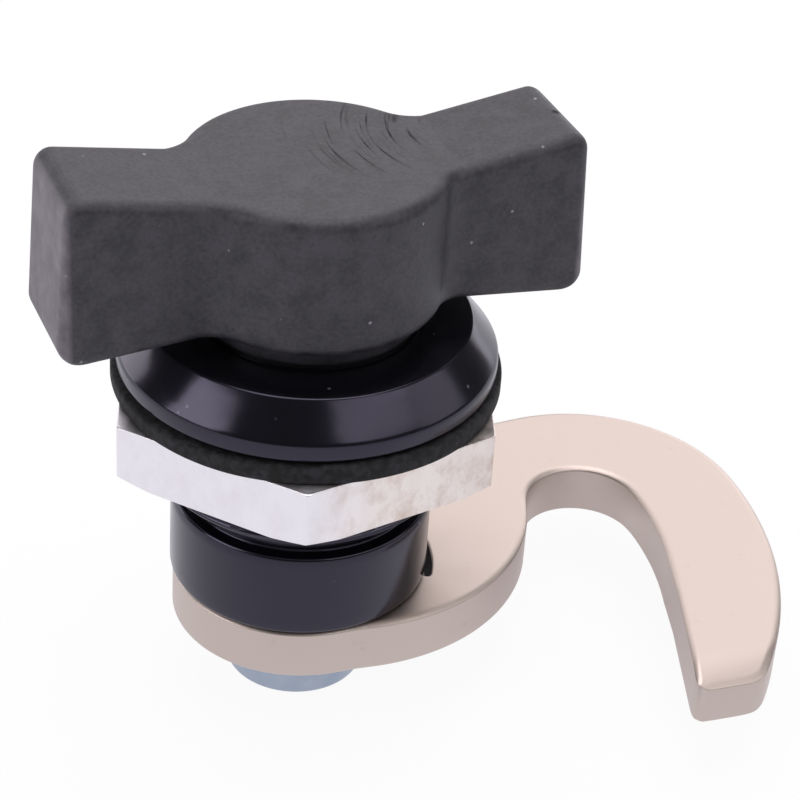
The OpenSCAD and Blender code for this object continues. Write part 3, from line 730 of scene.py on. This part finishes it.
ring_neck = meet((0, 0), RING_R, NECK_MID, NECK_R, -1)
neck_seat = meet(NECK_MID, NECK_R, (KEEPER, 0), SEAT_R, -1)
bulge_ring = meet((0, 0), RING_R, BULGE_MID, BULGE_R, 1)
flank_tilt = np.degrees(np.arccos((BULGE_R - BACK_R) / np.linalg.norm(BACK_MID - BULGE_MID)))
flank = bearing(BACK_MID, BULGE_MID) + flank_tilt
lip = np.radians(LIP_TURN)
lip_way = np.array([np.sin(lip), -np.cos(lip)])
lip_end = THROAT_R * np.array([np.cos(lip), np.sin(lip)]) + LIP_L * lip_way
tip_way = np.array([np.cos(lip + np.radians(TIP_SLANT)), np.sin(lip + np.radians(TIP_SLANT))])
tip_from = lip_end - OUTER_MID
tip_run = -tip_from @ tip_way + np.sqrt((tip_from @ tip_way) ** 2 - tip_from @ tip_from + OUTER_R ** 2)
tip_out = lip_end + tip_run * tip_way
print("neck meets ring at", ring_neck.round(2), "seat at", neck_seat.round(2),
      "tip", lip_end.round(2), tip_out.round(2))

# %% Chain of arcs
seat_start = bearing(neck_seat, (KEEPER, 0)) % 360
cam_chain = np.vstack([
    arc((0, 0), RING_R, bearing(bulge_ring), bearing(ring_neck) + 360),
    arc(NECK_MID, NECK_R, bearing(ring_neck, NECK_MID), bearing(neck_seat, NECK_MID)),
    arc((KEEPER, 0), SEAT_R, seat_start, 0),
    arc((0, 0), THROAT_R, 0, LIP_TURN),
    [lip_end - 0.001 * lip_way, lip_end, tip_out],
    arc(OUTER_MID, OUTER_R, bearing(tip_out, OUTER_MID), 0),
    arc(BACK_MID, BACK_R, 0, flank),
    arc(BULGE_MID, BULGE_R, flank, bearing(bulge_ring, BULGE_MID)),
])


def tumbled(loop, spacing, spread):
    """Closed loop at equal spacing, then averaged along itself with a bell curve of the given spread."""
    closed = np.vstack([loop, loop[:1]])
    even = evenly(closed, int(np.linalg.norm(np.diff(closed, axis=0), axis=1).sum() / spacing))[:-1]
    wave = np.fft.fftfreq(len(even), d=spacing)
    bell = np.exp(-2 * (np.pi * wave * spread) ** 2)
    smooth = np.fft.ifft(np.fft.fft(even[:, 0] + 1j * even[:, 1]) * bell)
    return np.column_stack([smooth.real, smooth.imag])


CAM_STEP, CAM_SOFT = 0.2, 0.8
cam_loop = tumbled(cam_chain, CAM_STEP, CAM_SOFT)
print("cam outline", len(cam_loop), "points, reach", np.linalg.norm(cam_loop, axis=1).max().round(2))

# %% [markdown]
# ## The hook cam as a solid
# The outline, the square drive hole and the curved stop slot are three loops. Each is carried
# through the thickness as rings, and the two flat faces are filled between the last rings.
# Blender's own polygon filler handles the holes. The upper edge is the die roll of a stamped
# plate, a wide shallow curve that ends in a quick corner. The lower one is a plain round.

# %% Loops of the cam
SQUARE_HALF, SLOT_IN, SLOT_OUT, SLOT_START, SLOT_SPAN = 4.05, 7.9, 10.4, -32.4, 111.0
square_loop = tumbled(np.array([(1, 1), (-1, 1), (-1, -1), (1, -1)]) * SQUARE_HALF, 0.25, 0.15)
slot_loop = tumbled(np.vstack([arc((0, 0), SLOT_OUT, SLOT_START, SLOT_START + SLOT_SPAN),
                               arc((0, 0), SLOT_IN, SLOT_START + SLOT_SPAN, SLOT_START)]), 0.25, 0.2)
TOP_ROLL, LOW_ROLL, ROLL_DEPTH, ROLL_CORNER = 0.6, 0.35, 0.42, 0.1


def die_roll(width):
    """Inset and drop of a die-rolled edge: depth s^2 over its width, then a quadratic curve into the wall."""
    slope = 2 * ROLL_DEPTH * (1 - ROLL_CORNER)
    s = np.linspace(0, 1 - ROLL_CORNER, 7)
    t = np.linspace(0, 1, 5)[1:]
    start = ROLL_DEPTH * s[-1] ** 2
    corner = start + ROLL_CORNER * slope
    drop = (1 - t) ** 2 * start + 2 * t * (1 - t) * corner + t ** 2 * (corner + 2 * ROLL_CORNER)
    return (width * np.concatenate([1 - s, ROLL_CORNER * (1 - t) ** 2]),
            width * np.concatenate([ROLL_DEPTH * s ** 2, drop]))


def slab_wall(loop, into, top_roll, low_roll, draft=0.0, share=1.0):
    """Rings of a plate edge from its upper face to its lower one, with a share of the upper roll kept."""
    normal = outward(loop) * into
    top_in, top_drop = die_roll(top_roll)
    inset = np.concatenate([[top_roll + 0.1], top_in, low_roll * roll_in, [low_roll + 0.1]])
    lean = draft * np.linspace(0, 1, len(inset))[:, None]
    plan = loop[None] - (inset[:, None] + lean)[..., None] * normal[None]
    kept = np.broadcast_to(share, len(loop))[None]
    height = np.concatenate([0 * kept + cam_high[2], cam_high[2] - kept * top_drop[:, None],
                             cam_low[2] + low_roll * roll_off[:, None] + 0 * kept, 0 * kept + cam_low[2]])
    return np.concatenate([plan, height[..., None]], axis=-1)


lip_run = (cam_loop - lip_end) @ lip_way
off_lip = np.abs((cam_loop - lip_end) @ np.array([-lip_way[1], lip_way[0]]))
LIP_DRAFT, DRAFT_RUN, ROLL_RUN, LEAST_ROLL, SQUARE_ROLL, SLOT_ROLL = 0.3, 4, 1.2, 0.3, 0.15, 0.2
lip_draft = LIP_DRAFT * np.clip((lip_run + LIP_L) / DRAFT_RUN, 0, 1) * np.clip(2 - 2 * off_lip, 0, 1)
behind_tip = (lip_end - cam_loop) @ np.array([tip_way[1], -tip_way[0]])
kept_roll = np.clip(behind_tip / ROLL_RUN, LEAST_ROLL, 1)
walls = [slab_wall(cam_loop, 1, TOP_ROLL, LOW_ROLL, lip_draft, kept_roll),
         slab_wall(square_loop, -1, SQUARE_ROLL, SQUARE_ROLL), slab_wall(slot_loop, -1, SLOT_ROLL, SLOT_ROLL)]
print("cam walls", [w.shape[:2] for w in walls], "rings and points")

# %% Walls and faces of the cam
starts = np.cumsum([0] + [w.shape[0] * w.shape[1] for w in walls])[:-1]
cam_faces = [quad + start for w, start in zip(walls, starts) for quad in grid_quads(*w.shape[:2])]
for row in (0, -1):
    rims = [w[row] for w in walls]
    index = np.concatenate([start + (row % w.shape[0]) * w.shape[1] + np.arange(w.shape[1])
                            for w, start in zip(walls, starts)])
    filled = tessellate_polygon([[Vector(p) for p in rim] for rim in rims])
    cam_faces += [index[list(triangle)] for triangle in filled]
cam_points = np.concatenate([w.reshape(-1, 3) for w in walls])
cam_plate = make_piece("cam_plate", turned(cam_points, REST_TURN), [f.tolist() for f in cam_faces], "rotor",
                       nickel, ["hook_cam"])

# %% [markdown]
# ## The worn tip
# The tip of the hook strikes the keeper first, so its upper edge is worn down in a long curve.
# The flat top has no points there, so it is cut along a few lines parallel to the tip first.
# Then every point near the tip is lowered by a parabola of its distance from the tip.

# %% Wear on the tip
WEAR_RUN, WEAR_DEPTH, WEAR_CUTS = 3.4, 0.9, 14
tip_face = np.array([tip_way[1], -tip_way[0], 0.0])
tip_face, tip_corner = turned(np.stack([tip_face, [*lip_end, 0.0]]), REST_TURN)
work = bmesh.new()
work.from_mesh(cam_plate.data)
for cut in np.linspace(0.05, 1, WEAR_CUTS) * WEAR_RUN:
    bmesh.ops.bisect_plane(work, geom=work.verts[:] + work.edges[:] + work.faces[:], dist=1e-7,
                           plane_co=(tip_corner - cut * tip_face) * MM, plane_no=tip_face)
work.to_mesh(cam_plate.data)
work.free()
cam_xyz = np.empty(3 * len(cam_plate.data.vertices))
cam_plate.data.vertices.foreach_get("co", cam_xyz)
cam_xyz = cam_xyz.reshape(-1, 3) / MM
behind = (tip_corner - cam_xyz) @ tip_face
upper = np.clip((cam_xyz[:, 2] - cam_low[2]) / (cam_high[2] - cam_low[2]) * 2 - 0.9, 0, 1)
cam_xyz[:, 2] -= upper * WEAR_DEPTH * np.clip(1 - behind / WEAR_RUN, 0, 1) ** 2
cam_plate.data.vertices.foreach_set("co", (cam_xyz * MM).ravel())
cam_plate.data.update()
print("points lowered at the tip", int((behind < WEAR_RUN).sum()))

# %% [markdown]
# ## The cam screw
# A low-head socket screw in blue-white zinc plate holds the cam. Only the rim of its head
# shows. The head is a lathe profile, with a six-sided socket cut by the same hexagon
# rule as the nut, and the plate has a cold, slightly cloudy shine.

# %% Blue zinc and screw
blue_zinc, tree, shader, place = new_finish("blue-white zinc plate on turned steel", Metallic=1.0)
cloud = add(tree, "TexNoise", {"Vector": place, "Scale": per_mm(1.5), "Detail": 5.0}).outputs["Fac"]
plate = add(tree, "Mix",
            {"Factor": cloud, "A": linear("#8c97a6"), "B": linear("#abb4bf")}, data_type="RGBA")
tree.links.new(plate.outputs["Result"], shader.inputs["Base Color"])
shine = add(tree, "MapRange", {"Value": cloud, "To Min": 0.24, "To Max": 0.42}).outputs["Result"]
tree.links.new(shine, shader.inputs["Roughness"])

SCREW_R, SOCKET_FLAT, SOCKET_DEPTH, STEM_R, AXIS_GAP, SCREW_COLUMNS = 5.35, 2.0, 2.5, 2.95, 0.02, 192
head_high, socket_floor = spring_low[2], screw_low[2] + SOCKET_DEPTH
head_profile = soft_profile([(AXIS_GAP, socket_floor), (SOCKET_FLAT, socket_floor), (SOCKET_FLAT, screw_low[2]),
                             (SCREW_R, screw_low[2]), (SCREW_R, head_high), (STEM_R, head_high),
                             (STEM_R, screw_high[2]), (AXIS_GAP, screw_high[2])],
                            [0.005, 0.05, 0.2, 0.35, 0.25, 0.1, 0.3, 0.005])
screw_points = lathe(head_profile, SCREW_COLUMNS)
screw_turn = np.linspace(0, 2 * np.pi, SCREW_COLUMNS, endpoint=False)[None, :]
in_socket = (head_profile[:, :1] <= SOCKET_FLAT + 0.1) & (head_profile[:, 1:] < socket_floor + 0.01)
hexed = np.where(in_socket, 1 / np.cos((screw_turn % (np.pi / 3)) - np.pi / 6), 1.0)
screw_points[..., :2] *= hexed[..., None]
make_piece("screw_shell", screw_points, grid_quads(*screw_points.shape[:2], wrap_rows=True), "rotor",
           blue_zinc, ["cam_screw"], sharp=40)

# %% [markdown]
# ## Metals and plastics of the hidden pieces
# The spindle, washers and retaining ring keep their CAD shapes, because those are exact. Each
# gets its own procedural finish: turned and zinc-plated steel, oiled spring steel,
# black acetal, and the same rubber for the shaft seal.


# %% Hidden finishes
def plain_metal(name, dark, light, grain_mm, rough):
    """Metal whose colour and gloss both follow one noise of a given grain size."""
    finish, tree, shader, place = new_finish(name, Metallic=1.0)
    noise = add(tree, "TexNoise",
                {"Vector": place, "Scale": per_mm(grain_mm), "Detail": 4.0}).outputs["Fac"]
    mix = add(tree, "Mix", {"Factor": noise, "A": linear(dark), "B": linear(light)}, data_type="RGBA")
    tree.links.new(mix.outputs["Result"], shader.inputs["Base Color"])
    gloss = add(tree, "MapRange",
                {"Value": noise, "To Min": rough, "To Max": rough + 0.15}).outputs["Result"]
    tree.links.new(gloss, shader.inputs["Roughness"])
    return finish


turned_steel = plain_metal("turned steel, zinc plated", "#b4b5b8", "#cfd0d3", 0.6, 0.28)
spring_steel = plain_metal("oiled spring steel", "#6f7174", "#8f9194", 0.8, 0.35)
acetal, tree, shader, place = new_finish("black acetal", Roughness=0.4, IOR=1.48)
milk = add(tree, "TexNoise", {"Vector": place, "Scale": per_mm(2), "Detail": 3.0}).outputs["Fac"]
soot = add(tree, "Mix", {"Factor": milk, "A": linear("#121213"), "B": linear("#1d1d1f")}, data_type="RGBA")
tree.links.new(soot.outputs["Result"], shader.inputs["Base Color"])
hidden = {"spindle": turned_steel, "spring_washer": spring_steel, "retaining_ring": spring_steel,
          "thrust_washer": acetal, "o_ring": rubber}
for node, finish in hidden.items():
    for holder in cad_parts[node].material_slots:
        holder.material = finish
print("hidden pieces finished:", sorted(hidden))

# %% [markdown]
# ## Floor, light and camera
# The latch stands in a white studio: a pale floor under the screw head, broad soft lights from
# behind and from above, a smaller one from the left, and weak ones that lift the rims, the right
# side and the front. The camera looks down on it by a little more than a third of a right angle,
# with a long lens, as a product photographer would. The floor is white for the camera. Where the
# metals mirror it close to the body and the hook, it is darker, as it lies in their shadow.

# %% Floor
FLOOR_GAP, FLOOR_REACH, WHITE, ROOM_LEVEL = 0.02 * MM, 3.0, 0.93, 0.1
floor_z = cad_box[0][2] - FLOOR_GAP
BODY_SPOT, HOOK_SPOT = (6 * MM, 9 * MM, floor_z), (27 * MM, -1 * MM, floor_z)
mesh = bpy.data.meshes.new("studio_floor")
sides = ((-1, -1), (1, -1), (1, 1), (-1, 1))
mesh.from_pydata([(x * FLOOR_REACH, y * FLOOR_REACH, floor_z) for x, y in sides], [], [(0, 1, 2, 3)])
floor = bpy.data.objects.new("studio_floor", mesh)
bpy.context.collection.objects.link(floor)
paper, tree, shader, place = new_finish("white paper floor", Roughness=0.9)
fibre = add(tree, "TexNoise", {"Vector": place, "Scale": per_mm(4)}).outputs["Fac"]
sheet = add(tree, "Mix",
            {"Factor": fibre, "A": linear("#f1f0f8"), "B": linear("#f9f8ff")}, data_type="RGBA")
tree.links.new(sheet.outputs["Result"], shader.inputs["Base Color"])
ray = add(tree, "LightPath")
mirrored = add(tree, "Math", {0: ray.outputs["Is Glossy Ray"], 1: ray.outputs["Is Transmission Ray"]},
               operation="MAXIMUM").outputs["Value"]
from_axis = add(tree, "VectorMath", {0: place, 1: BODY_SPOT}, operation="DISTANCE").outputs["Value"]
open_floor = add(tree, "MapRange",
                 {"Value": from_axis, "From Min": 4 * MM, "From Max": 8 * MM}).outputs["Result"]
beside_body = add(tree, "Math", {0: mirrored, 1: open_floor}, operation="MULTIPLY").outputs["Value"]
from_hook = add(tree, "VectorMath", {0: place, 1: HOOK_SPOT}, operation="DISTANCE").outputs["Value"]
clear = add(tree, "MapRange", {"Value": from_hook, "From Min": 4 * MM, "From Max": 14 * MM, "To Min": 0.4})
beside_hook = add(tree, "Math",
                  {0: beside_body, 1: clear.outputs["Result"]}, operation="MULTIPLY").outputs["Value"]
seen = add(tree, "Math", {0: ray.outputs["Is Camera Ray"], 1: WHITE}, operation="MULTIPLY").outputs["Value"]
share = add(tree, "Math", {0: seen, 1: beside_hook}, operation="MAXIMUM").outputs["Value"]
cast = add(tree, "Mix",
           {"Factor": ray.outputs["Is Camera Ray"], "A": linear("#f9f8ff"), "B": linear("#ffffff")},
           data_type="RGBA").outputs["Result"]
glow = add(tree, "Emission", {"Color": cast, "Strength": 1.0}).outputs["Emission"]
both = add(tree, "MixShader", {0: share, 1: shader.outputs["BSDF"], 2: glow}).outputs["Shader"]
tree.links.new(both, tree.nodes["Material Output"].inputs["Surface"])
mesh.materials.append(paper)
print("floor at", round(floor_z / MM, 2), "mm")

# %% Lights
world = bpy.data.worlds.new("studio")
world.use_nodes = True
bpy.context.scene.world = world
sky = world.node_tree.nodes["Background"]
sky.inputs["Color"].default_value = (1, 1, 1, 1)
sky_ray = add(world.node_tree, "LightPath").outputs["Is Camera Ray"]
sky_level = add(world.node_tree, "Mix", {"Factor": sky_ray, "A": ROOM_LEVEL, "B": WHITE}).outputs["Result"]
world.node_tree.links.new(sky_level, sky.inputs["Strength"])
LAMP_TINT = (1.0, 0.965, 1.0)


def soft_light(name, place_mm, wide_mm, high_mm, watts):
    """Rectangular area lamp at a place, aimed at the latch, with sizes in millimetres."""
    lamp = bpy.data.lights.new(name, "AREA")
    lamp.shape, lamp.size, lamp.size_y = "RECTANGLE", wide_mm * MM, high_mm * MM
    lamp.energy, lamp.color = watts, LAMP_TINT
    holder = bpy.data.objects.new(name, lamp)
    aim = (-Vector(place_mm)).to_track_quat("-Z", "Y").to_matrix().to_4x4()
    holder.matrix_world = Matrix.Translation(Vector(place_mm) * MM) @ aim
    bpy.context.collection.objects.link(holder)
    print(name, watts, "W at", place_mm)


soft_light("back_light", (100, 372, 247), 760, 420, 1.3)
soft_light("top_light", (0, 50, 450), 400, 400, 1.4)
soft_light("left_light", (-420, -80, 200), 260, 260, 0.7)
soft_light("rim_light", (-330, 330, 70), 220, 220, 0.35)
soft_light("low_back_light", (300, 330, 50), 300, 160, 0.2)
soft_light("right_light", (420, -120, 250), 260, 260, 0.26)
soft_light("front_light", (200, -298, 320), 330, 200, 0.38)

# %% Camera
VIEW_FROM, VIEW_AT, ROLL = (-35.314, -148.231, 97.809), (6.389, -3.273, -0.897), 4.01
FOCAL, SENSOR, NEAREST = 110.38, 36.0, 0.01
lens = bpy.data.cameras.new("photo_camera")
lens.lens, lens.sensor_width, lens.clip_start = FOCAL, SENSOR, NEAREST
camera = bpy.data.objects.new("photo_camera", lens)
look = (Vector(VIEW_AT) - Vector(VIEW_FROM)).to_track_quat("-Z", "Y").to_matrix().to_4x4()
look = look @ Matrix.Rotation(np.radians(ROLL), 4, "Z")
camera.matrix_world = Matrix.Translation(Vector(VIEW_FROM) * MM) @ look
bpy.context.collection.objects.link(camera)
bpy.context.scene.camera = camera
bpy.context.scene.view_settings.view_transform = "Standard"
print("camera with a", FOCAL, "mm lens at", VIEW_FROM)
